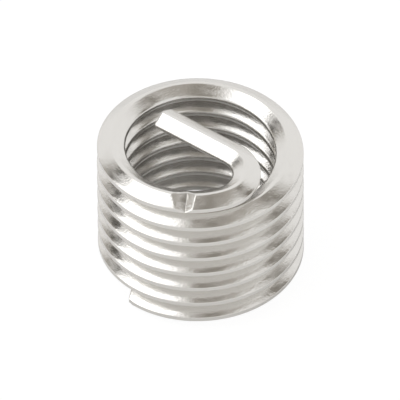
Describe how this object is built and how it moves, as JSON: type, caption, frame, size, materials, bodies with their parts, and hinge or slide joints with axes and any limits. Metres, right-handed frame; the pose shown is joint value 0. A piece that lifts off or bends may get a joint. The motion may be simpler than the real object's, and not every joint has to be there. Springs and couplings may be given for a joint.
{
  "type": "helical thread insert",
  "caption": "Helical thread insert: a close coil of diamond-section steel wire that lines a tapped hole, with a driving tang across the bore and a break-off notch.",
  "frame": {"origin": "on the coil's axis, at the lowest point of the plain end that it stands on", "axes": "+Z is the coil's axis, from the plain end to the tang; +Y is away from the notch in the picture's view, and +X to its right"},
  "size_m": [0.0068, 0.0068, 0.0057],
  "materials": {
    "wire": "bright drawn stainless steel"
  },
  "bodies": {
    "root": {"thread_insert": "wire"}
  },
  "joints": []
}
